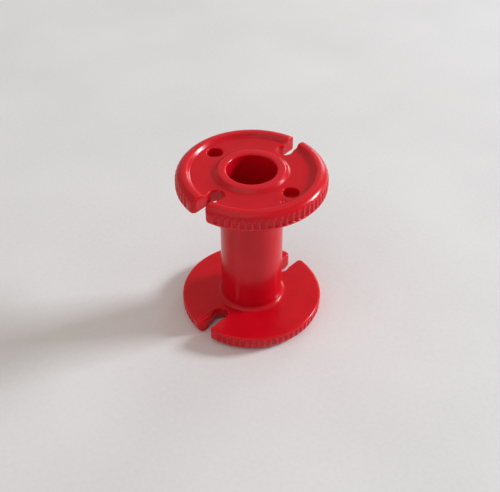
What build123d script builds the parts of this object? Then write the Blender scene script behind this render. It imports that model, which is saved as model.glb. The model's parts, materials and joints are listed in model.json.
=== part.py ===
from build123d import *
import os
from math import cos, radians, sin

# A small moulded thread spool: a tubular barrel with a dished, fluted flange bonded on each end.
#
# Frame: millimetres, +Z up along the bore. The origin is at the centre of the ring that the spool stands on.
# The thread slots of both flanges lie on the X axis, and their plain drive holes on the Y axis.
#
# Three pieces are written to parts/: barrel, lower_flange and upper_flange. The two flanges are one moulding
# used twice. Each takes the spigot at one end of the barrel in a socket, and two keys on the spigot's end
# enter the socket's floor, so that the slots of the two flanges stand in line.

# Driving dimensions
overall_height = 33.6
flange_radius = 14.0
barrel_radius = 6.0
bore_radius = 4.6

# Flange section, measured up from the flat inner face that holds the thread
flange_thickness = 3.4
web_thickness = 2.65
hub_height = 3.35

# Flange section, measured out from the bore's axis
hub_crest_radius = 6.1
hub_foot_radius = 6.9
dish_radius = 11.25
rim_crest_radius = 11.8

# Roundings of the flange section
bore_lip_rounding = 0.45
hub_crest_rounding = 0.6
hub_foot_rounding = 1.0
dish_rounding = 0.5
rim_crest_rounding = 0.45
shoulder_rounding = 1.8
inner_edge_rounding = 0.45

# Thread slots and drive holes: a slot goes right through and opens out into an eye at its inner end, and the
# blind drive holes are of the same size and on the same circle as the eyes
hole_circle_radius = 9.25
hole_radius = 1.5
slot_width = 2.6
slot_corner_rounding = 0.9
drive_hole_depth = 2.0
drive_hole_rounding = 0.2

# Flutes round the rim, which stop short of the rounded inner edge and of the slots
flute_count = 72
flute_radius = 0.45
flute_depth = 0.28

# Gate mark: a shallow dimple on the web with the stub of the broken gate in it
gate_dimple_radius = 0.55
gate_dimple_depth = 0.12
gate_stub_radius = 0.22
gate_stub_height = 0.1
gate_mark_radius = 10.4
gate_mark_angle = -106.5

# Joint between the barrel and a flange
collar_height = 1.2
collar_root_rounding = 1.0
socket_radius = 5.4
socket_floor = 0.8
bond_gap = 0.03
end_gap = 0.1
key_length = 0.8
key_width = 2.0
key_side_gap = 0.05

# Reach of a cutter past the face that it comes in through, the step by which a slot's rounded corners cross
# the rim, and the slack in finding an edge by its place
margin = 1.0
crossing = 0.005
tolerance = 0.01

# Worked out from the above
recess_floor = socket_floor + key_length
barrel_length = overall_height - 2 * (flange_thickness + collar_height)
spigot_length = collar_height + socket_floor - end_gap
spigot_radius = socket_radius - bond_gap


def turned(corners):
    """A solid turned about the Z axis from (radius, height, rounding) corners of its half section."""
    points = [(radius, height) for radius, height, rounding in corners]
    roundings = [rounding for radius, height, rounding in corners]
    outline = FilletPolyline(*points, radius=roundings, close=True)
    return revolve(Plane.XZ * make_face(outline), Axis.Z)


def flange_body():
    """The plain flange, with its flat inner face at z = 0, its dished face up and its collar below."""
    hub = [
        (bore_radius, socket_floor, 0),
        (bore_radius, hub_height, bore_lip_rounding),
        (hub_crest_radius, hub_height, hub_crest_rounding),
        (hub_foot_radius, web_thickness, hub_foot_rounding),
    ]
    rim = [
        (dish_radius, web_thickness, dish_rounding),
        (rim_crest_radius, flange_thickness, rim_crest_rounding),
        (flange_radius, flange_thickness, shoulder_rounding),
        (flange_radius, 0, inner_edge_rounding),
    ]
    collar = [
        (barrel_radius, 0, collar_root_rounding),
        (barrel_radius, -collar_height, 0),
        (socket_radius, -collar_height, 0),
        (socket_radius, socket_floor, 0),
    ]
    return turned(hub + rim + collar)


def upright(sketch, low, high):
    """A prism of a plan-view sketch, from one height to another."""
    return Pos(0, 0, low) * extrude(sketch, high - low)


def thread_slots():
    """The cutter for the two thread slots, with rounded corners at the rim and an eye at the inner end."""
    rim_radius = flange_radius + crossing
    eyes = PolarLocations(hole_circle_radius, 2) * Circle(hole_radius)
    reach = rim_radius + margin - hole_circle_radius
    slots = [
        Pos(side * (hole_circle_radius + reach / 2), 0) * Rectangle(reach, slot_width)
        for side in (-1, 1)
    ]
    plan = Circle(rim_radius) - eyes - slots
    corners = [
        vertex
        for vertex in plan.vertices()
        if abs(abs(vertex.Y) - slot_width / 2) < tolerance
        and abs(vertex.X) > hole_circle_radius + 2 * hole_radius
    ]
    plan = fillet(corners, slot_corner_rounding)
    return upright(Circle(rim_radius + margin) - plan, -margin, flange_thickness + margin)


def drive_holes():
    """The cutter for the two blind drive holes."""
    holes = Sketch() + PolarLocations(hole_circle_radius, 2, 90) * Circle(hole_radius)
    return upright(holes, web_thickness - drive_hole_depth, flange_thickness + margin)


def flutes():
    """The cutter for the upright grooves round the rim."""
    pitch = 360 / flute_count
    circle = flange_radius - flute_depth + flute_radius
    clearance = slot_width / 2 + slot_corner_rounding + flute_radius
    grooves = [
        Rot(0, 0, turn * pitch) * Pos(circle, 0) * Circle(flute_radius)
        for turn in range(flute_count)
        if abs(circle * sin(radians(turn * pitch))) > clearance
    ]
    return upright(Sketch() + grooves, inner_edge_rounding, flange_thickness + margin)


def key_sketch(outer_radius, side_gap):
    """Plan view of the two keys out to a radius, or with a side gap that of their recesses."""
    ring = Circle(outer_radius) - Circle(bore_radius)
    return ring & Rectangle(2 * flange_radius, key_width + 2 * side_gap)


def with_rounded_drive_holes(body):
    """The flange with the mouths of its drive holes rounded off."""
    mouths = [
        edge
        for edge in body.edges().filter_by(GeomType.CIRCLE)
        if abs(edge.radius - hole_radius) < tolerance
        and abs(edge.arc_center.X) < tolerance
        and abs(edge.arc_center.Z - web_thickness) < tolerance
    ]
    return fillet(mouths, drive_hole_rounding)


def with_gate_mark(body):
    """The flange with the dimple and the stub that its moulding gate leaves on the web."""
    x = gate_mark_radius * cos(radians(gate_mark_angle))
    y = gate_mark_radius * sin(radians(gate_mark_angle))
    floor = web_thickness - gate_dimple_depth
    dimple = Pos(x, y, floor) * extrude(Circle(gate_dimple_radius), margin)
    stub = Pos(x, y, floor) * extrude(Circle(gate_stub_radius), gate_stub_height)
    return body - dimple + stub


def flange():
    """One flange moulding, in its own frame."""
    body = flange_body() - thread_slots() - drive_holes()
    body = with_rounded_drive_holes(body)
    body = body - upright(key_sketch(socket_radius, key_side_gap), socket_floor, recess_floor)
    body = with_gate_mark(body)
    return body - flutes()


def barrel():
    """The tube that the thread is wound on, with a spigot and two keys at each end."""
    half_height = overall_height / 2
    low = half_height - barrel_length / 2
    tube = Circle(barrel_radius) - Circle(bore_radius)
    spigot = Circle(spigot_radius) - Circle(bore_radius)
    spigot_reach = barrel_length / 2 + spigot_length
    key_reach = spigot_reach + key_length
    body = upright(tube, low, low + barrel_length)
    body += upright(spigot, half_height - spigot_reach, half_height + spigot_reach)
    keys = key_sketch(spigot_radius, 0)
    return body + upright(keys, half_height - key_reach, half_height + key_reach)


def nodes():
    """Every piece by name, where it sits in the spool."""
    moulding = flange()
    return {
        "barrel": barrel(),
        "upper_flange": Pos(0, 0, overall_height - flange_thickness) * moulding,
        "lower_flange": Pos(0, 0, flange_thickness) * Rot(180, 0, 0) * moulding,
    }


os.makedirs("parts", exist_ok=True)
for name, piece in nodes().items():
    export_step(piece, f"parts/{name}.step")
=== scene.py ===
"""Looks of a small moulded thread spool: two dished, fluted flanges on a tubular barrel.

Everything is in metres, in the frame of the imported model: +Z runs up the bore, the thread slots lie along X
and the drive holes along Y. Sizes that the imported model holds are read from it; the rest are fields of the
classes below, written in millimetres and turned to metres by MM.
"""

import json
import logging
import math
from collections.abc import Callable, Sequence
from dataclasses import dataclass
from enum import Enum
from functools import cached_property

import bmesh
import bpy
import numpy as np
from bpy.types import ID, Material, Mesh, Node, NodeSocket, NodeTree, Object
from mathutils import Euler, Matrix, Vector
from mathutils.geometry import delaunay_2d_cdt


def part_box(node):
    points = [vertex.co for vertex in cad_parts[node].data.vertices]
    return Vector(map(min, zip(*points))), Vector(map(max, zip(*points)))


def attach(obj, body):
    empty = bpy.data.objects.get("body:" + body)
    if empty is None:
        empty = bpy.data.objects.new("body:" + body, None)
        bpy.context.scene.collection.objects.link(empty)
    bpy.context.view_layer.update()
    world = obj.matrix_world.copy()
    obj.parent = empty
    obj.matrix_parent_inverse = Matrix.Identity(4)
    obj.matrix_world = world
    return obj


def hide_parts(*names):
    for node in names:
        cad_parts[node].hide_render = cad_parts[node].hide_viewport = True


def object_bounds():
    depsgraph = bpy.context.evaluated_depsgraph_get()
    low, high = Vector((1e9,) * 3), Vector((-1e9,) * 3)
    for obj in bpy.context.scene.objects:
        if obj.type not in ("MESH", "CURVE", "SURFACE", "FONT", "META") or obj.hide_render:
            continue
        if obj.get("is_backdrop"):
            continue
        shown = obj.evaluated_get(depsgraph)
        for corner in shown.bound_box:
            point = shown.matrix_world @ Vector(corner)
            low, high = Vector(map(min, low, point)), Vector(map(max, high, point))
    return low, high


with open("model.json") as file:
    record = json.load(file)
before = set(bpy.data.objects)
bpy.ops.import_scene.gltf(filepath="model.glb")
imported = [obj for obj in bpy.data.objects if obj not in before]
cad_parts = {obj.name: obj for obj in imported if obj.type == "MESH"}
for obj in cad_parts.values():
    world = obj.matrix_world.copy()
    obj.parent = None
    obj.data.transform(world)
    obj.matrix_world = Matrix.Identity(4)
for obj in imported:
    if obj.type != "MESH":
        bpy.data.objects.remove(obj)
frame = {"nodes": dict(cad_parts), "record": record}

log = logging.getLogger("spool")

MM = 0.001
BODY = "root"

# How near two points of a plan, in millimetres, count as one: drawn twice, and met in the triangulation
SAME_POINT = 1e-5
MEETING = 1e-4

Point = tuple[float, float]
RGBA = tuple[float, float, float, float]

ORIGIN: Point = (0.0, 0.0)


class End(Enum):
    """The end of the spool that a flange closes."""

    UPPER = "upper_flange"
    LOWER = "lower_flange"


# --- sections


@dataclass(frozen=True)
class Corner:
    """A corner of a turned section: its radius and height, and how far it is rounded off."""

    radius: float
    height: float
    rounding: float = 0.0


def rounded_corner(before: Corner, corner: Corner, after: Corner, step: float) -> list[Point]:
    """Works out the arc that rounds off one corner of a section.

    Args:
        before: The corner that the section comes from.
        corner: The corner to round off.
        after: The corner that the section goes to.
        step: The largest turn between two points of the arc, in radians.

    Returns:
        The arc's points, or the corner itself where it stays sharp.
    """
    tip = Vector((corner.radius, corner.height))
    if corner.rounding == 0:
        return [tuple(tip)]
    back = (Vector((before.radius, before.height)) - tip).normalized()
    ahead = (Vector((after.radius, after.height)) - tip).normalized()
    half = back.angle(ahead) / 2
    centre = tip + (back + ahead).normalized() * corner.rounding / math.sin(half)
    start = tip + back * corner.rounding / math.tan(half) - centre
    turn = start.angle_signed(tip + ahead * corner.rounding / math.tan(half) - centre)
    count = max(2, math.ceil(abs(turn) / step))
    return [tuple(centre + Matrix.Rotation(-turn * i / count, 2) @ start) for i in range(count + 1)]


def rounded_section(corners: Sequence[Corner], step: float = math.radians(9)) -> list[list[Point]]:
    """Returns the points that stand for each corner of a closed section, rounded off in turns of step."""
    after = [*corners[1:], corners[0]]
    return [rounded_corner(corners[i - 1], corner, after[i], step) for i, corner in enumerate(corners)]


def height_line(section: Sequence[Point]) -> Callable[[float], float]:
    """Returns the rule for a turned face's height at any radius, level past either end of its section."""
    radii, heights = np.array(sorted(section)).T
    return lambda radius: float(np.interp(radius, radii, heights))


def rounding_drop(inset: float, rounding: float) -> float:
    """Returns how far a rounded edge lies below the face that it ends, at an inset from that edge."""
    short = rounding - min(max(inset, 0.0), rounding)
    return rounding - math.sqrt(rounding * rounding - short * short)


def smooth_step(value: float, low: float, high: float) -> float:
    """Returns 0 below low and 1 above high, with a smooth rise between."""
    share = min(max((value - low) / (high - low), 0.0), 1.0)
    return share * share * (3 - 2 * share)


# --- node formulas


class Formula:
    """A number that Math nodes work out, so that a node tree's rule reads as a formula."""

    def __init__(self, tree: NodeTree, socket: NodeSocket | float) -> None:
        """Wraps an output socket, or a plain number, of a node tree."""
        self.tree = tree
        self.socket = socket

    def math(self, operation: str, *others: "Formula | float") -> "Formula":
        """Puts one Math node after this number.

        Args:
            operation: The Math node's operation.
            others: Its second and third values, as far as it takes them.

        Returns:
            The node's result.
        """
        node = self.tree.nodes.new("ShaderNodeMath")
        node.operation = operation
        for place, value in zip(node.inputs, (self, *others)):
            feed(self.tree, place, value)
        return Formula(self.tree, node.outputs[0])

    def __add__(self, other: "Formula | float") -> "Formula":
        """Adds."""
        return self.math("ADD", other)

    def __sub__(self, other: "Formula | float") -> "Formula":
        """Subtracts."""
        return self.math("SUBTRACT", other)

    def __mul__(self, other: "Formula | float") -> "Formula":
        """Multiplies."""
        return self.math("MULTIPLY", other)

    def __truediv__(self, other: "Formula | float") -> "Formula":
        """Divides."""
        return self.math("DIVIDE", other)

    def less_than(self, other: "Formula | float") -> "Formula":
        """Returns 1 where this number is the lesser, and 0 elsewhere."""
        return self.math("LESS_THAN", other)


def feed(tree: NodeTree, place: NodeSocket, value: object) -> None:
    """Links an input socket, or sets its own value.

    Args:
        tree: The node tree.
        place: The input socket.
        value: A Formula, an output socket, or a plain value.
    """
    if isinstance(value, Formula):
        value = value.socket
    if isinstance(value, NodeSocket):
        tree.links.new(value, place)
    else:
        place.default_value = value


def add_node(tree: NodeTree, kind: str, settings: dict | None = None, **inputs: object) -> Node:
    """Adds a node and fills its inputs.

    Args:
        tree: The node tree.
        kind: The node's type name.
        settings: Its own properties, by name.
        inputs: Its inputs by name, with _ for a space.

    Returns:
        The new node.
    """
    node = tree.nodes.new(kind)
    for name, value in (settings or {}).items():
        setattr(node, name, value)
    for name, value in inputs.items():
        feed(tree, node.inputs[name.replace("_", " ")], value)
    return node


def noise(tree: NodeTree, place: NodeSocket, size: float, **inputs: object) -> Formula:
    """Adds noise with patches of a size, at a place on the piece, with its other inputs as in add_node."""
    node = add_node(tree, "ShaderNodeTexNoise", Vector=place, Scale=1 / size, **inputs)
    return Formula(tree, node.outputs["Fac"])


class ShapeTree:
    """A Geometry Nodes tree with named inputs, ending in Realize Instances and Set Material."""

    def __init__(self, name: str) -> None:
        """Makes the tree with its geometry input and output.

        Args:
            name: The tree's name.
        """
        self.tree = bpy.data.node_groups.new(name, "GeometryNodeTree")
        self.values: dict[str, object] = {}
        self.inputs = self.tree.nodes.new("NodeGroupInput")
        self.tree.interface.new_socket("Geometry", in_out="INPUT", socket_type="NodeSocketGeometry")
        self.tree.interface.new_socket("Geometry", in_out="OUTPUT", socket_type="NodeSocketGeometry")

    @property
    def geometry(self) -> NodeSocket:
        """The geometry that comes in."""
        return self.inputs.outputs["Geometry"]

    def number(self, name: str, value: float) -> Formula:
        """Adds a named number input to the tree.

        Args:
            name: The input's name.
            value: The value that the modifier gives it, which is whole for an input of whole numbers.

        Returns:
            The input's number.
        """
        kind = "NodeSocketInt" if isinstance(value, int) else "NodeSocketFloat"
        self.tree.interface.new_socket(name, in_out="INPUT", socket_type=kind)
        self.values[name] = value
        return Formula(self.tree, self.inputs.outputs[name])

    def add(self, kind: str, settings: dict | None = None, **inputs: object) -> Node:
        """Adds a node to the tree, as add_node does."""
        return add_node(self.tree, kind, settings, **inputs)

    def finish(self, geometry: NodeSocket, material: Material) -> None:
        """Ends the tree, so that what it makes is plain geometry with its finish on.

        Args:
            geometry: The geometry that the tree has made.
            material: The finish.
        """
        self.tree.interface.new_socket("Finish", in_out="INPUT", socket_type="NodeSocketMaterial")
        self.values["Finish"] = material
        realized = self.add("GeometryNodeRealizeInstances", Geometry=geometry)
        dressed = self.add(
            "GeometryNodeSetMaterial",
            Geometry=realized.outputs["Geometry"],
            Material=self.inputs.outputs["Finish"],
        )
        out = self.tree.nodes.new("NodeGroupOutput")
        self.tree.links.new(dressed.outputs["Geometry"], out.inputs["Geometry"])

    def shape(self, name: str, mesh: Mesh) -> Mesh:
        """Runs the tree on a mesh.

        Args:
            name: The name of the mesh that comes out.
            mesh: The mesh that goes in, which is used up.

        Returns:
            The plain mesh that the tree makes.
        """
        blank = put_in_scene(name + "_blank", mesh)
        modifier = blank.modifiers.new("shape", "NODES")
        modifier.node_group = self.tree
        for item in self.tree.interface.items_tree:
            if item.in_out == "INPUT" and item.name in self.values:
                modifier[item.identifier] = self.values[item.name]
        evaluated = blank.evaluated_get(bpy.context.evaluated_depsgraph_get())
        made = bpy.data.meshes.new_from_object(evaluated)
        blank.modifiers.remove(modifier)
        bpy.data.objects.remove(blank)
        bpy.data.meshes.remove(mesh)
        made.name = name
        return made


# --- finishes


def begin_finish(name: str) -> tuple[Material, NodeTree, NodeSocket]:
    """Starts a finish with an empty node tree.

    Args:
        name: The finish's name.

    Returns:
        The material, its node tree, and the place on the piece.
    """
    made = bpy.data.materials.new(name)
    made.use_nodes = True
    made.node_tree.nodes.clear()
    return made, made.node_tree, made.node_tree.nodes.new("ShaderNodeTexCoord").outputs["Object"]


def end_finish(tree: NodeTree, **inputs: object) -> None:
    """Ends a finish with its shader.

    Args:
        tree: The material's node tree.
        inputs: The shader's inputs by name, with _ for a space.
    """
    surface = add_node(tree, "ShaderNodeBsdfPrincipled", **inputs)
    out = tree.nodes.new("ShaderNodeOutputMaterial")
    tree.links.new(surface.outputs["BSDF"], out.inputs["Surface"])


def shaded(tree: NodeTree, share: object, dark: RGBA, light: RGBA, margin: float) -> NodeSocket:
    """Goes from a dark to a light colour.

    Args:
        tree: The material's node tree.
        share: What decides, from 0 to 1.
        dark: The colour at its low end.
        light: The colour at its high end.
        margin: How far from 0 and from 1 the change ends.

    Returns:
        The colour.
    """
    ramp = add_node(tree, "ShaderNodeValToRGB", Fac=share)
    ends = zip(ramp.color_ramp.elements, (margin, 1 - margin), (dark, light))
    for element, position, colour in ends:
        element.position = position
        element.color = colour
    return ramp.outputs["Color"]


@dataclass(frozen=True)
class GlossPlastic:
    """Glossy moulded plastic, coloured right through, with the faint marks of its mould and of handling."""

    name: str = "red_moulded_plastic"
    colour: RGBA = (0.64, 0.003, 0.014, 1.0)
    deep_colour: RGBA = (0.57, 0.002, 0.011, 1.0)
    worn_colour: RGBA = (0.68, 0.012, 0.028, 1.0)
    roughness: float = 0.2
    worn_roughness: float = 0.38
    flow_size: float = 4.0 * MM
    grain_size: float = 0.35 * MM
    scratch_size: float = 1.1 * MM
    depth_of_colour: float = 1.6 * MM
    flow_gloss: float = 0.06
    grain_gloss: float = 0.05
    scratch_gloss: float = 0.06
    scratch_depth: float = 0.4
    scratch_width: float = 0.012
    scratch_spread: float = 0.56
    wear_grain: float = 0.8
    wear_threshold: float = 0.75
    wear_contrast: float = 1.6
    most_worn: float = 0.6

    def material(self) -> Material:
        """Builds the material.

        Returns:
            The plastic, which reads the wear attribute of the piece that it is on.
        """
        made, tree, place = begin_finish(self.name)
        flow = noise(tree, place, self.flow_size, Detail=3.0, Roughness=0.55, Distortion=0.8)
        grain = noise(tree, place, self.grain_size, Detail=4.0, Roughness=0.6)
        wear = add_node(tree, "ShaderNodeAttribute", {"attribute_name": "wear"})
        worn = self.worn_share(Formula(tree, wear.outputs["Fac"]), grain)
        scratches = self.scratches(tree, place)
        shade = shaded(tree, flow, self.deep_colour, self.colour, margin=0.3)
        colour = tree.nodes.new("ShaderNodeMix")
        colour.data_type = "RGBA"
        feed(tree, colour.inputs[0], worn)
        feed(tree, colour.inputs[6], shade)
        feed(tree, colour.inputs[7], self.worn_colour)
        smoothest = self.roughness - (self.flow_gloss + self.grain_gloss) / 2
        gloss = flow * self.flow_gloss + grain * self.grain_gloss + smoothest
        gloss = gloss + worn * (self.worn_roughness - self.roughness) + scratches * self.scratch_gloss
        ripple = add_node(tree, "ShaderNodeBump", Strength=0.25, Distance=0.02 * MM, Height=flow)
        skin = add_node(
            tree,
            "ShaderNodeBump",
            Strength=0.3,
            Distance=0.004 * MM,
            Height=grain - scratches * self.scratch_depth,
            Normal=ripple.outputs["Normal"],
        )
        end_finish(
            tree,
            Base_Color=colour.outputs[2],
            Roughness=gloss,
            IOR=1.5,
            Specular_IOR_Level=0.3,
            Normal=skin.outputs["Normal"],
            Subsurface_Weight=0.5,
            Subsurface_Radius=(1.0, 0.08, 0.06),
            Subsurface_Scale=self.depth_of_colour,
        )
        return made

    def worn_share(self, wear: Formula, grain: Formula) -> Formula:
        """Returns the share of worn surface, from the wear on the crests broken up by the fine noise."""
        patch = wear + grain * self.wear_grain - self.wear_threshold
        return (patch * self.wear_contrast).math("MAXIMUM", 0.0).math("MINIMUM", self.most_worn)

    def scratches(self, tree: NodeTree, place: NodeSocket) -> Formula:
        """Draws sparse hairline scratches that run every way.

        Args:
            tree: The material's node tree.
            place: The place on the piece.

        Returns:
            1 in a scratch and 0 beside it.
        """
        bent = noise(tree, place, 6 * self.scratch_size, Detail=1.0)
        turned = add_node(
            tree, "ShaderNodeMapping", Vector=place, Rotation=(0.4, 0.3, 0.9), Scale=(1.0, 9.0, 3.0)
        )
        lines = add_node(
            tree,
            "ShaderNodeTexVoronoi",
            {"feature": "DISTANCE_TO_EDGE"},
            Vector=turned.outputs["Vector"],
            Scale=0.12 / self.scratch_size,
        )
        near = Formula(tree, lines.outputs["Distance"]).less_than(self.scratch_width)
        return near * bent.math("GREATER_THAN", self.scratch_spread)


@dataclass(frozen=True)
class PaperSheet:
    """A pale, matte sheet with a faint pebbled grain."""

    name: str = "pale_sheet"
    light: RGBA = (0.80, 0.80, 0.81, 1.0)
    shade: RGBA = (0.74, 0.74, 0.75, 1.0)
    grain_size: float = 0.9 * MM

    def material(self) -> Material:
        """Builds the material.

        Returns:
            The sheet's finish.
        """
        made, tree, place = begin_finish(self.name)
        grain = noise(tree, place, self.grain_size, Detail=3.0)
        cloud = noise(tree, place, 40 * self.grain_size, Detail=2.0)
        relief = add_node(tree, "ShaderNodeBump", Strength=0.35, Distance=0.06 * MM, Height=grain)
        colour = shaded(tree, grain * 0.35 + cloud * 0.65, self.shade, self.light, margin=0.35)
        end_finish(tree, Base_Color=colour, Roughness=0.75, Normal=relief.outputs["Normal"])
        return made


# --- plan views


class Plan:
    """Points and lines of a flange seen along the bore, from which its sheets are triangulated."""

    def __init__(self) -> None:
        """Starts with nothing drawn."""
        self.points: list[Point] = []
        self.lines: list[tuple[int, int]] = []
        self.known: dict[tuple[int, int], int] = {}

    def point(self, place: Point) -> int:
        """Draws a point, or finds the one that is there already.

        Args:
            place: Where it is.

        Returns:
            The point's number.
        """
        key = (round(place[0] / MM / SAME_POINT), round(place[1] / MM / SAME_POINT))
        if key not in self.known:
            self.known[key] = len(self.points)
            self.points.append(place)
        return self.known[key]

    def line(self, places: Sequence[Point], closed: bool = False) -> list[int]:
        """Draws a line through points.

        Args:
            places: The points, in order.
            closed: Whether the last point joins the first.

        Returns:
            The points' numbers.
        """
        numbers = [self.point(place) for place in places]
        ends = numbers[1:] + numbers[:1] if closed else numbers[1:]
        self.lines += [(a, b) for a, b in zip(numbers, ends) if a != b]
        return numbers

    def ring(self, centre: Point, radius: float, count: int) -> list[int]:
        """Draws a whole circle and returns its points' numbers."""
        return self.line(circle_points(centre, radius, count), closed=True)

    def circle(self, radius: float, count: int, keep: Callable[[float, float], bool]) -> None:
        """Draws as much of a circle about the origin as a test lets through.

        Args:
            radius: The circle's radius.
            count: How many points a whole turn has.
            keep: The test of a point's X and Y.
        """
        places = circle_points(ORIGIN, radius, count)
        kept = [keep(*place) for place in places]
        numbers = [self.point(place) if there else -1 for place, there in zip(places, kept)]
        for a, b in zip(numbers, numbers[1:] + numbers[:1]):
            if a >= 0 and b >= 0:
                self.lines.append((a, b))

    def triangles(self, outlines: Sequence[list[int]]) -> tuple[list[Point], list[list[int]], list[int]]:
        """Triangulates what lies inside the first outline and outside the others.

        Args:
            outlines: Closed outlines, as point numbers, with the outer one first.

        Returns:
            The points of the triangulation, its triangles, and for each point of the plan its number there.
        """
        given = [Vector(place) / MM for place in self.points]
        found = delaunay_2d_cdt(given, self.lines, [list(o) for o in outlines], 0, MEETING, True)
        places, _, faces, origins, _, inside = found
        numbers = [-1] * len(given)
        exact = [(place.x * MM, place.y * MM) for place in places]
        for i, sources in enumerate(origins):
            for source in sources:
                numbers[source] = i
                exact[i] = self.points[source]
        return exact, [list(face) for face, within in zip(faces, inside) if set(within) == {0}], numbers


def around(centre: Point, radius: float, angle: float) -> Point:
    """Returns the point at a radius and an angle round a centre."""
    return (centre[0] + radius * math.cos(angle), centre[1] + radius * math.sin(angle))


def circle_points(centre: Point, radius: float, count: int) -> list[Point]:
    """Returns the points of a circle, from its +X side anticlockwise."""
    return [around(centre, radius, math.tau * i / count) for i in range(count)]


class Shell:
    """A closed mesh as it is put together, in vertices and faces."""

    def __init__(self) -> None:
        """Starts empty."""
        self.vertices: list[tuple[float, float, float]] = []
        self.faces: list[tuple[int, ...]] = []

    def vertex(self, x: float, y: float, z: float) -> int:
        """Adds a vertex and returns its number."""
        self.vertices.append((x, y, z))
        return len(self.vertices) - 1

    def wall(self, top: Sequence[int], bottom: Sequence[int], rows: int) -> None:
        """Joins two closed rings by an upright wall.

        Args:
            top: The upper ring's vertices, anticlockwise seen from above.
            bottom: The lower ring's vertices, one under each of the upper ones.
            rows: How many rows of faces the wall has.
        """
        rings = [list(top)]
        for row in range(1, rows):
            share = row / rows
            ring = []
            for a, b in zip(top, bottom):
                high, low = self.vertices[a], self.vertices[b]
                ring.append(self.vertex(*(h + share * (g - h) for h, g in zip(high, low))))
            rings.append(ring)
        rings.append(list(bottom))
        for upper, lower in zip(rings, rings[1:]):
            self.strip(upper, lower)

    def strip(self, upper: Sequence[int], lower: Sequence[int]) -> None:
        """Joins two closed rings by one row of faces."""
        for i in range(len(upper)):
            self.faces.append((upper[i - 1], lower[i - 1], lower[i], upper[i]))

    def turned(
        self, first: Sequence[int], section: Sequence[Point], centre: Point = ORIGIN
    ) -> list[int]:
        """Turns a section about an upright axis, on from a ring that is there already.

        Args:
            first: The ring that the section starts from.
            section: The radius and height of each ring after it.
            centre: Where the axis stands.

        Returns:
            The last ring.
        """
        ring = list(first)
        for radius, height in section:
            after = [self.vertex(*place, height) for place in circle_points(centre, radius, len(ring))]
            self.strip(ring, after)
            ring = after
        return ring

    def close(self, ring: Sequence[int], centre: Point) -> None:
        """Closes a ring with a fan to its centre."""
        middle = self.vertex(*centre, self.vertices[ring[0]][2])
        self.faces += [(ring[i - 1], middle, ring[i]) for i in range(len(ring))]

    def mesh(self, name: str) -> Mesh:
        """Makes the mesh, with its faces outward.

        Args:
            name: The mesh's name.

        Returns:
            The mesh.
        """
        made = bpy.data.meshes.new(name)
        made.from_pydata(self.vertices, [], self.faces)
        face_outward(made)
        return made


def put_in_scene(name: str, data: ID) -> Object:
    """Makes an object and links it to the scene.

    Args:
        name: The object's name.
        data: Its mesh, lamp or camera.

    Returns:
        The object.
    """
    made = bpy.data.objects.new(name, data)
    bpy.context.scene.collection.objects.link(made)
    return made


def face_outward(mesh: Mesh) -> None:
    """Drops loose vertices and turns every face outward.

    Args:
        mesh: A closed mesh.
    """
    shell = bmesh.new()
    shell.from_mesh(mesh)
    loose = [vertex for vertex in shell.verts if not vertex.link_faces]
    bmesh.ops.delete(shell, geom=loose, context="VERTS")
    bmesh.ops.recalc_face_normals(shell, faces=shell.faces)
    shell.to_mesh(mesh)
    shell.free()


def piece_of(mesh: Mesh, node: str, crease: float) -> Object:
    """Makes a piece of a mesh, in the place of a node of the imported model.

    Args:
        mesh: The mesh, in its place, with its finish on.
        node: The node that the piece stands for.
        crease: The least turn between two faces that shows as an edge.

    Returns:
        The piece.
    """
    mesh.shade_smooth()
    mesh.set_sharp_from_angle(angle=crease)
    piece = put_in_scene("moulded_" + node, mesh)
    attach(piece, BODY)
    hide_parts(node)
    return piece


# --- the spool


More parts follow.
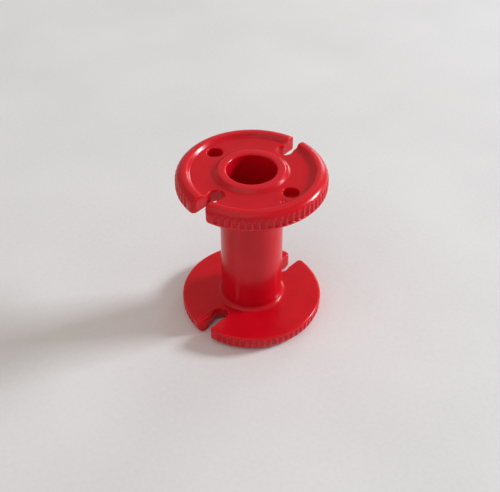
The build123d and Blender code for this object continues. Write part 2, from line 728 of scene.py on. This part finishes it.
@dataclass(frozen=True)
class ThreadSlot:
    """Plan view of a thread slot, open at the rim on the +X side, with a rounder eye at its inner end."""

    eye_place: float
    eye_radius: float
    half_width: float
    rim_radius: float
    corner_rounding: float = 0.9 * MM
    blending: float = 0.2 * MM
    eye_steps: int = 34
    corner_steps: int = 10
    last_ray: float = math.radians(46)
    spacing: float = 0.05 * MM

    def clearance(self, x: float, y: float) -> float:
        """Works out how far outside the slot a point is, round its rounded corners too.

        Args:
            x: Place along the slot.
            y: Place across it.

        Returns:
            The distance, with the cusps beside the eye blended a little.
        """
        if self.corner_share(x, y) > 0:
            return self.corner_rounding - math.dist((x, abs(y)), self.corner_centre())
        from_eye = math.hypot(x - self.eye_place, y)
        eye = from_eye - self.eye_radius
        slot = (from_eye if x < self.eye_place else abs(y)) - self.half_width
        mix = max(self.blending - abs(eye - slot), 0.0) / self.blending
        return min(eye, slot) - mix * mix * self.blending / 4

    def corner_share(self, x: float, y: float) -> float:
        """Works out how far round the slot's rounded corner a point lies.

        Args:
            x: Place along the slot.
            y: Place across it.

        Returns:
            0 beside the slot's straight sides, rising to 1 where the corner meets the rim, and 0 past it.
        """
        centre = self.corner_centre()
        if x <= centre[0]:
            return 0.0
        turn = math.atan2(abs(y) - centre[1], x - centre[0])
        return (turn + math.pi / 2) / self.corner_turn() if turn <= self.corner_angle() else 0.0

    def corner_centre(self) -> Point:
        """Returns the centre of the rounding between the slot and the rim, on the +Y side."""
        y = self.half_width + self.corner_rounding
        return (math.sqrt((self.rim_radius - self.corner_rounding) ** 2 - y * y), y)

    def corner_angle(self) -> float:
        """Returns the angle round the bore at which the rounding meets the rim."""
        x, y = self.corner_centre()
        return math.atan2(y, x)

    def eye_point(self, ray: float, inset: float) -> Point:
        """Finds the point of an inset line on a ray from the middle of the eye.

        Args:
            ray: The ray's angle.
            inset: How far outside the slot the line runs.

        Returns:
            The point.
        """
        near, far = 0.0, 2 * self.eye_radius
        for _ in range(40):
            middle = (near + far) / 2
            if self.clearance(*around((self.eye_place, 0.0), middle, ray)) < inset:
                near = middle
            else:
                far = middle
        return around((self.eye_place, 0.0), near, ray)

    def half_line(self, inset: float, radii: Sequence[float]) -> list[Point]:
        """Draws half of a line that follows the slot, from the inner side of its eye round its corner.

        Args:
            inset: How far outside the slot the line runs.
            radii: The radii, in order, at which the line has a point on its straight stretch.

        Returns:
            The points, on the +Y side.
        """
        turn = (math.pi - self.last_ray) / self.eye_steps
        eye = [self.eye_point(math.pi - turn * i, inset) for i in range(self.eye_steps + 1)]
        corner = self.corner(inset)
        y = self.half_width + inset
        places = [math.sqrt(radius * radius - y * y) for radius in radii if radius > self.eye_place]
        inside = [x for x in places if eye[-1][0] + self.spacing < x < corner[0][0] - self.spacing]
        return [*eye, *[(x, y) for x in inside], *corner]

    def corner_turn(self) -> float:
        """Returns the turn of the rounded corner, from the slot's side to the rim."""
        return self.corner_angle() + math.pi / 2

    def corner(self, inset: float) -> list[Point]:
        """Draws the rounded corner on an inset line.

        Args:
            inset: How far outside the slot the line runs.

        Returns:
            The points, from the slot's side to the rim.
        """
        size = self.corner_rounding - inset
        step = self.corner_turn() / self.corner_steps
        turns = [step * i - math.pi / 2 for i in range(self.corner_steps + 1)]
        return [around(self.corner_centre(), size, turn) for turn in turns]


@dataclass
class Flange:
    """A dished flange with a fluted rim, two thread slots, two blind drive holes and a gate mark.

    It is built with its flat inner face at height 0 and its dished face up, and then put in its place.
    """

    end: End
    radius: float
    thickness: float
    bore_radius: float
    barrel_radius: float
    hole_circle: float
    hole_radius: float
    web_thickness: float = 2.65 * MM
    hub_height: float = 3.35 * MM
    hub_crest: float = 6.1 * MM
    hub_foot: float = 6.9 * MM
    dish: float = 11.25 * MM
    rim_crest: float = 11.8 * MM
    shoulder_rounding: float = 1.8 * MM
    inner_edge_rounding: float = 0.5 * MM
    collar_height: float = 1.2 * MM
    socket_radius: float = 5.4 * MM
    socket_floor: float = 0.8 * MM
    slot_half_width: float = 1.2 * MM
    edge_rounding: float = 0.2 * MM
    rounding_steps: int = 5
    drive_hole_depth: float = 2.0 * MM
    drive_hole_fillet: float = 0.15 * MM
    gate_place: Point = around(ORIGIN, 10.4 * MM, math.radians(-106.5))
    gate_radius: float = 0.55 * MM
    gate_depth: float = 0.12 * MM
    gate_stub_radius: float = 0.22 * MM
    gate_stub_height: float = 0.1 * MM
    flute_count: int = 72
    flute_radius: float = 0.45 * MM
    flute_depth: float = 0.28 * MM
    flute_softness: float = 0.2 * MM
    plain_half_width: float = 2.9 * MM
    hub_seam: float = 7.4 * MM
    collar_seam: float = 7.1 * MM
    columns: int = 288
    rim_columns: int = 1152
    hole_columns: int = 72
    crease: float = math.radians(55)
    gate_rings: int = 10
    gate_columns: int = 24
    wall_rows: int = 8
    spacing: float = 0.03 * MM

    @cached_property
    def section(self) -> dict[str, list[Point]]:
        """Rounds off the flange's section.

        Returns:
            The radius and height of its points: the hub outward, the dished rim outward, the inner edge
            inward, and the collar with its socket.
        """
        stretches = {
            "hub": [
                Corner(self.bore_radius, self.socket_floor),
                Corner(self.bore_radius, self.hub_height, 0.45 * MM),
                Corner(self.hub_crest, self.hub_height, 0.6 * MM),
                Corner(self.hub_foot, self.web_thickness, 1.0 * MM),
            ],
            "rim": [
                Corner(self.dish, self.web_thickness, 0.5 * MM),
                Corner(self.rim_crest, self.thickness, 0.45 * MM),
                Corner(self.radius, self.thickness, self.shoulder_rounding),
            ],
            "edge": [Corner(self.radius, 0.0)],
            "collar": [
                Corner(self.barrel_radius, 0.0, 1.0 * MM),
                Corner(self.barrel_radius, -self.collar_height),
                Corner(self.socket_radius, -self.collar_height),
                Corner(self.socket_radius, self.socket_floor),
            ],
        }
        arcs = iter(rounded_section([corner for stretch in stretches.values() for corner in stretch]))
        return {
            name: [point for _ in stretch for point in next(arcs)]
            for name, stretch in stretches.items()
        }

    @cached_property
    def slot(self) -> ThreadSlot:
        """The plan view of the slot on the +X side, which stands for both."""
        return ThreadSlot(self.hole_circle, self.hole_radius, self.slot_half_width, self.radius)

    def insets(self, rounding: float) -> list[float]:
        """Returns the insets of the lines along a rounded edge, at even turns, without the edge itself."""
        turns = [math.pi / 2 * i / self.rounding_steps for i in range(1, self.rounding_steps + 1)]
        return [rounding * (1 - math.cos(turn)) for turn in turns]

    def hole_clearance(self, x: float, y: float) -> float:
        """Returns how far outside the nearer drive hole a point is."""
        return math.hypot(x, abs(y) - self.hole_circle) - self.hole_radius

    def from_gate(self, x: float, y: float) -> float:
        """Returns how far a point is from the middle of the gate mark."""
        return math.hypot(x - self.gate_place[0], y - self.gate_place[1])

    def gate_height(self, x: float, y: float) -> float:
        """Works out the height of the gate mark over the web.

        Args:
            x: Place along the slots.
            y: Place along the drive holes.

        Returns:
            The height, which is negative in the dimple.
        """
        away = self.from_gate(x, y)
        dimple = 1 - smooth_step(away, 0.55 * self.gate_radius, self.gate_radius)
        stub = 1 - smooth_step(away, 0.3 * self.gate_stub_radius, 1.3 * self.gate_stub_radius)
        return self.gate_stub_height * stub - self.gate_depth * dimple

    def hole_centres(self) -> list[Point]:
        """Returns the middles of the two drive holes."""
        return [(0.0, self.hole_circle), (0.0, -self.hole_circle)]

    def radii(self, *stretches: list[Point]) -> list[float]:
        """Lists the radii at which a face needs points for its rounded section.

        Args:
            stretches: The stretches of the section that the face has.

        Returns:
            The radii between the seam and the rim, in order and none too near the next.
        """
        wanted = sorted(radius for stretch in stretches for radius, _ in stretch)
        kept = [self.hub_seam]
        for radius in wanted:
            if radius > kept[-1] + self.spacing and radius < self.radius - self.spacing / 4:
                kept.append(radius)
        return kept[1:]

    @cached_property
    def stations(self) -> list[float]:
        """The radii at which the lines along the slots have points."""
        return self.radii(self.section["rim"])

    def outline(self, plan: Plan, inset: float = 0.0) -> list[int]:
        """Draws the flange's outline with its slots, or a line that runs inside it.

        Args:
            plan: The plan to draw it on.
            inset: How far inside the outline the line runs.

        Returns:
            The line's points, anticlockwise.
        """
        side = self.slot.half_line(inset, self.stations)
        step = math.tau / self.rim_columns
        first = math.ceil(self.slot.corner_angle() / step + 0.3)
        turns = range(first, self.rim_columns // 2 - first + 1)
        rim = [around(ORIGIN, self.radius - inset, step * i) for i in turns]
        half = [*side, *rim, *[(-x, y) for x, y in reversed(side[1:])]]
        return plan.line([*half, *[(-x, -y) for x, y in half]], closed=True)

    def slot_lines(self, plan: Plan) -> None:
        """Draws the lines along the rounded edges of the slots.

        Args:
            plan: The plan to draw them on.
        """
        for inset in self.insets(self.edge_rounding):
            half = self.slot.half_line(inset, self.stations)
            line = [*reversed(half), *[(x, -y) for x, y in half[1:]]]
            plan.line(line)
            plan.line([(-x, y) for x, y in line])

    def holes(self, plan: Plan) -> list[list[int]]:
        """Draws the drive holes and the lines round their rounded mouths.

        Args:
            plan: The plan to draw them on.

        Returns:
            The points of each hole.
        """
        loops = []
        for centre in self.hole_centres():
            sizes = [self.hole_radius + inset for inset in (0.0, *self.insets(self.edge_rounding))]
            rings = [plan.ring(centre, size, self.hole_columns) for size in sizes]
            loops.append(rings[0])
        return loops

    def gate_lines(self, plan: Plan) -> None:
        """Draws the circles that carry the gate mark's shape."""
        for i in range(1, self.gate_rings + 1):
            plan.ring(self.gate_place, self.gate_radius * i / self.gate_rings, self.gate_columns)

    def face(
        self, shell: Shell, plan: Plan, outlines: list[list[int]], height: Callable[[float, float], float]
    ) -> list[list[int]]:
        """Adds one face of the flange to its shell.

        Args:
            shell: The flange's shell.
            plan: The face's plan.
            outlines: The face's outline and then its seam and its holes, as points of the plan.
            height: The face's height at a point.

        Returns:
            The vertices of each outline.
        """
        places, triangles, numbers = plan.triangles(outlines)
        vertices = [shell.vertex(x, y, height(x, y)) for x, y in places]
        shell.faces += [tuple(vertices[i] for i in triangle) for triangle in triangles]
        return [[vertices[numbers[i]] for i in outline] for outline in outlines]

    def dished_face(self, shell: Shell) -> list[list[int]]:
        """Adds the dished face.

        Args:
            shell: The flange's shell.

        Returns:
            The vertices of the outline, of the seam with the hub, and of each drive hole.
        """
        plan = Plan()
        level = height_line(self.section["rim"])
        shoulder = self.radius - self.flute_depth
        arch = [(shoulder + self.flute_depth * share, 0.0) for share in (-0.4, -0.2, 0.0, 0.17, 0.34, 0.5)]

        def clear(x: float, y: float) -> bool:
            """Tells whether a circle may have a point here."""
            edges = (self.slot.clearance(abs(x), y), self.hole_clearance(x, y))
            return min(*edges, self.from_gate(x, y) - self.gate_radius) > self.edge_rounding + self.spacing

        def height(x: float, y: float) -> float:
            """Works out the face's height at a point.

            Args:
                x: Place along the slots.
                y: Place along the drive holes.

            Returns:
                The height.
            """
            rounding = self.edge_rounding * (1 - self.slot.corner_share(abs(x), y))
            at_slot = rounding_drop(self.slot.clearance(abs(x), y), rounding)
            at_hole = rounding_drop(self.hole_clearance(x, y), self.edge_rounding)
            return level(math.hypot(x, y)) - at_slot - at_hole + self.gate_height(x, y)

        seam = plan.ring(ORIGIN, self.hub_seam, self.columns)
        outlines = [self.outline(plan), seam, *self.holes(plan)]
        self.slot_lines(plan)
        self.gate_lines(plan)
        flat = self.radius - self.shoulder_rounding
        for radius in self.radii(self.section["rim"], arch, [(self.hole_circle, 0.0)]):
            plan.circle(radius, self.columns if radius < flat else self.rim_columns, clear)
        return self.face(shell, plan, outlines, height)

    def inner_face(self, shell: Shell) -> list[list[int]]:
        """Adds the flat inner face.

        Args:
            shell: The flange's shell.

        Returns:
            The vertices of the outline and of the seam with the collar.
        """
        plan = Plan()

        def inside(x: float, y: float) -> float:
            """Returns how far inside the outline a point is."""
            return min(self.slot.clearance(abs(x), y), self.radius - math.hypot(x, y))

        def clear(x: float, y: float) -> bool:
            """Tells whether a circle may have a point here."""
            return inside(x, y) > self.inner_edge_rounding + self.spacing

        def height(x: float, y: float) -> float:
            """Works out the face's height at a point.

            Args:
                x: Place along the slots.
                y: Place along the drive holes.

            Returns:
                The height.
            """
            out = smooth_step(math.hypot(x, y), self.hole_circle, self.dish)
            rounding = self.edge_rounding + out * (self.inner_edge_rounding - self.edge_rounding)
            return rounding_drop(inside(x, y), rounding)

        outlines = [self.outline(plan), plan.ring(ORIGIN, self.collar_seam, self.columns)]
        for inset in self.insets(self.inner_edge_rounding):
            self.outline(plan, inset)
        plan.circle(self.hole_circle, self.columns, clear)
        return self.face(shell, plan, outlines, height)

    def hole_section(self) -> list[Point]:
        """Works out the section of a drive hole.

        Returns:
            The radius and height of its points, from below its mouth to near the middle of its floor.
        """
        floor = self.web_thickness - self.drive_hole_depth
        fillet = self.drive_hole_fillet
        straight = self.drive_hole_depth - self.edge_rounding - fillet
        wall = [(self.hole_radius, floor + fillet + straight * share) for share in (0.8, 0.6, 0.4, 0.2)]
        turns = [math.pi / 2 * i / self.rounding_steps for i in range(self.rounding_steps + 1)]
        foot = [
            (self.hole_radius - fillet * (1 - math.cos(turn)), floor + fillet * (1 - math.sin(turn)))
            for turn in turns
        ]
        return [*wall, *foot, (self.hole_radius * 0.6, floor), (self.hole_radius * 0.3, floor)]

    def blank(self) -> Mesh:
        """Builds the flange before its flutes are cut.

        Returns:
            The mesh, closed, with its faces outward.
        """
        shell = Shell()
        rim, hub_seam, *holes = self.dished_face(shell)
        edge, collar_seam = self.inner_face(shell)
        shell.wall(rim, edge, self.wall_rows)
        inner = [*reversed(self.section["hub"]), *reversed(self.section["collar"])]
        shell.strip(shell.turned(hub_seam, inner), collar_seam)
        for loop, centre in zip(holes, self.hole_centres()):
            shell.close(shell.turned(loop, self.hole_section(), centre), centre)
        return shell.mesh(self.end.value)

    def fluted(self, blank: Mesh, finish: Material) -> Mesh:
        """Cuts the upright flutes round the rim.

        Args:
            blank: The flange without flutes.
            finish: Its finish.

        Returns:
            The fluted flange.
        """
        shape = ShapeTree(self.end.value + "_flutes")
        count = shape.number("Flute Count", self.flute_count)
        rim = shape.number("Rim Radius", self.radius)
        flute = shape.number("Flute Radius", self.flute_radius)
        depth = shape.number("Flute Depth", self.flute_depth)
        softness = shape.number("Softness", self.flute_softness)
        plain = shape.number("Plain Half Width", self.plain_half_width)
        edge = shape.number("Plain Edge Height", self.inner_edge_rounding)
        place = shape.add("GeometryNodeInputPosition").outputs["Position"]
        apart = shape.add("ShaderNodeSeparateXYZ", Vector=place)
        x, y, z = (Formula(shape.tree, apart.outputs[name]) for name in "XYZ")
        radius = (x * x + y * y).math("SQRT")
        angle = y.math("ARCTAN2", x)
        pitch = Formula(shape.tree, math.tau) / count
        off = angle - (angle / pitch).math("ROUND") * pitch
        centre = rim - depth + flute
        across = centre * off.math("SINE")
        half = (flute * flute - across * across).math("MAXIMUM", 0.0).math("SQRT")
        groove = centre * off.math("COSINE") - half
        left_plain = y.math("ABSOLUTE").less_than(plain) + z.less_than(edge * 1.1)
        cut = radius.math("SMOOTH_MIN", groove + left_plain * rim, softness)
        ratio = cut / radius.math("MAXIMUM", depth)
        moved = shape.add("ShaderNodeCombineXYZ", X=x * ratio, Y=y * ratio, Z=z)
        carved = shape.add(
            "GeometryNodeSetPosition", Geometry=shape.geometry, Position=moved.outputs["Vector"]
        )
        shape.finish(carved.outputs["Geometry"], finish)
        return shape.shape(self.end.value, blank)

    def mark_wear(self, mesh: Mesh) -> None:
        """Marks the crests that handling rubs, from 0 to 1, in the wear attribute.

        Args:
            mesh: The flange, before it is put in its place.
        """
        low = self.web_thickness + 0.6 * (self.thickness - self.web_thickness)
        wear = mesh.attributes.new("wear", "FLOAT", "POINT")
        for vertex, mark in zip(mesh.vertices, wear.data):
            on_crest = smooth_step(vertex.co.z, low, self.thickness)
            on_rim = smooth_step(vertex.co.xy.length, self.radius - 0.08 * MM, self.radius)
            mark.value = max(on_crest, 0.7 * on_rim)

    def place(self) -> Matrix:
        """Works out where the flange goes in the spool.

        Returns:
            The move, which turns the lower flange over.
        """
        low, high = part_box(self.end.value)
        if self.end is End.UPPER:
            return Matrix.Translation((0.0, 0.0, high.z - self.thickness))
        return Matrix.Translation((0.0, 0.0, low.z + self.thickness)) @ Matrix.Rotation(math.pi, 4, "X")

    def build(self, finish: Material) -> Object:
        """Builds the flange in its place.

        Args:
            finish: Its finish.

        Returns:
            The piece.
        """
        mesh = self.fluted(self.blank(), finish)
        self.mark_wear(mesh)
        mesh.transform(self.place())
        return piece_of(mesh, self.end.value, self.crease)


@dataclass
class Barrel:
    """The tube that the thread is wound on, with a spigot at each end that fills a flange's socket."""

    radius: float
    bore_radius: float
    low: float
    high: float
    shoulder: float
    spigot_radius: float = 5.37 * MM
    columns: int = 288
    crease: float = math.radians(35)

    def section(self) -> Mesh:
        """Draws the barrel's half section as a closed line.

        Returns:
            The line, with its radius measured from the spigot's and its height downward.
        """
        steps = 12
        low, high = self.low + self.shoulder, self.high - self.shoulder
        length = self.high - self.low
        skin = [(self.radius, low + (high - low) * i / steps) for i in range(steps + 1)]
        bore = [(self.bore_radius, self.high - length * i / steps) for i in range(steps + 1)]
        line = [(self.spigot_radius, self.low), (self.spigot_radius, low), *skin]
        line += [(self.spigot_radius, high), (self.spigot_radius, self.high), *bore]
        points = [(radius - self.spigot_radius, -height, 0.0) for radius, height in line]
        made = bpy.data.meshes.new("barrel_section")
        made.from_pydata(points, [(i, (i + 1) % len(points)) for i in range(len(points))], [])
        return made

    def turned(self, finish: Material) -> Mesh:
        """Turns the section about the bore.

        Args:
            finish: The barrel's finish.

        Returns:
            The tube.
        """
        shape = ShapeTree("barrel_turning")
        columns = shape.number("Columns", self.columns)
        radius = shape.number("Spigot Radius", self.spigot_radius)
        line = shape.add("GeometryNodeMeshToCurve", Mesh=shape.geometry)
        path = shape.add("GeometryNodeCurvePrimitiveCircle", Resolution=columns, Radius=radius)
        swept = shape.add(
            "GeometryNodeCurveToMesh", Curve=path.outputs["Curve"], Profile_Curve=line.outputs["Curve"]
        )
        shape.finish(swept.outputs["Mesh"], finish)
        return shape.shape("barrel", self.section())

    def build(self, finish: Material) -> Object:
        """Builds the barrel in its place.

        Args:
            finish: Its finish.

        Returns:
            The piece.
        """
        mesh = self.turned(finish)
        face_outward(mesh)
        return piece_of(mesh, "barrel", self.crease)


# --- the studio


@dataclass(frozen=True)
class Table:
    """The pale sheet that the spool stands on."""

    half_width: float = 1.5
    finish: PaperSheet = PaperSheet()

    def build(self) -> None:
        """Lays the sheet at height 0."""
        half = self.half_width
        corners = [(-half, -half, 0.0), (half, -half, 0.0), (half, half, 0.0), (-half, half, 0.0)]
        mesh = bpy.data.meshes.new("table_sheet")
        mesh.from_pydata(corners, [], [(0, 1, 2, 3)])
        mesh.materials.append(self.finish.material())
        put_in_scene("table_sheet", mesh)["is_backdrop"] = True


@dataclass(frozen=True)
class SoftBox:
    """A square soft lamp that faces the spool, with its azimuth and elevation in degrees."""

    name: str
    azimuth: float
    elevation: float
    distance: float
    size: float
    power: float
    colour: tuple[float, float, float]

    def build(self, target: Vector) -> None:
        """Hangs the lamp.

        Args:
            target: The point that it faces.
        """
        turn = Euler((0.0, -math.radians(self.elevation), math.radians(self.azimuth)))
        away = turn.to_matrix() @ Vector((self.distance, 0.0, 0.0))
        lamp = bpy.data.lights.new(self.name, "AREA")
        lamp.shape = "SQUARE"
        lamp.size = self.size
        lamp.energy = self.power
        lamp.color = self.colour
        hung = put_in_scene(self.name, lamp)
        hung.location = target + away
        hung.rotation_euler = away.to_track_quat("Z", "Y").to_euler()


LAMPS = (
    SoftBox("key_lamp", -34.0, 25.0, distance=1.2, size=0.28, power=13.0, colour=(0.88, 0.95, 1.0)),
    SoftBox("fill_lamp", 180.0, 60.0, distance=0.9, size=0.8, power=1.35, colour=(1.0, 0.97, 0.94)),
    SoftBox("window_lamp", 15.0, 14.0, distance=1.2, size=0.34, power=1.9, colour=(0.94, 0.97, 1.0)),
)


@dataclass(frozen=True)
class Room:
    """The even light that comes from the room all round."""

    colour: RGBA = (1.0, 0.90, 0.82, 1.0)
    strength: float = 0.42

    def build(self) -> None:
        """Sets the world's light and plain colours."""
        world = bpy.data.worlds.new("room")
        world.use_nodes = True
        background = world.node_tree.nodes["Background"]
        background.inputs["Color"].default_value = self.colour
        background.inputs["Strength"].default_value = self.strength
        bpy.context.scene.world = world
        bpy.context.scene.view_settings.view_transform = "Standard"


@dataclass(frozen=True)
class Viewpoint:
    """The camera, which looks down at the spool from between its slot and drive hole sides."""

    place: tuple[float, float, float] = (-91.7 * MM, -81.8 * MM, 121.5 * MM)
    heading: float = math.radians(41.88)
    tilt: float = math.radians(40.91)
    lens: float = 60.0
    sensor_width: float = 36.0

    def build(self) -> None:
        """Puts the camera in its place and makes it the scene's."""
        camera = bpy.data.cameras.new("viewpoint")
        camera.lens = self.lens
        camera.sensor_width = self.sensor_width
        camera.clip_start = 0.005
        held = put_in_scene("viewpoint", camera)
        held.location = self.place
        held.rotation_euler = (math.pi / 2 - self.tilt, 0.0, self.heading - math.pi / 2)
        bpy.context.scene.camera = held


def mount(name: str) -> dict:
    """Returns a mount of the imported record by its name."""
    return next(mount for mount in frame["record"]["mounts"] if mount["name"] == name)


def reach(node: str) -> float:
    """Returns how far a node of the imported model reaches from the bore's axis."""
    return max(vertex.co.xy.length for vertex in frame["nodes"][node].data.vertices)


def height(node: str) -> float:
    """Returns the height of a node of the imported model, from its lowest point to its highest."""
    low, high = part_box(node)
    return high.z - low.z


def main() -> None:
    """Builds the spool, then the table, the lamps and the camera, and reports each piece."""
    logging.basicConfig(level=logging.INFO, format="%(name)s: %(message)s")
    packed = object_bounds()
    finish = GlossPlastic().material()
    bore = mount("bore")["dims"]["r_mm"] * MM
    holes = mount("upper_drive_holes")["dims"]
    flanges = [
        Flange(
            end=end,
            radius=reach(end.value),
            thickness=height(end.value) - Flange.collar_height,
            bore_radius=bore,
            barrel_radius=reach("barrel"),
            hole_circle=holes["spacing_y_mm"] / 2 * MM,
            hole_radius=holes["hole_r_mm"] * MM,
        )
        for end in End
    ]
    pieces = [flange.build(finish) for flange in flanges]
    flange = flanges[0]
    socket = flange.thickness - flange.socket_floor
    barrel = Barrel(
        radius=reach("barrel"),
        bore_radius=bore,
        low=packed[0].z + socket,
        high=packed[1].z - socket,
        shoulder=flange.collar_height + flange.socket_floor,
    )
    pieces.append(barrel.build(finish))
    for piece in pieces:
        log.info("%s has %d faces", piece.name, len(piece.data.polygons))
    Table().build()
    Room().build()
    middle = (packed[0] + packed[1]) / 2
    for lamp in LAMPS:
        lamp.build(middle)
    Viewpoint().build()


if __name__ == "__main__":
    main()
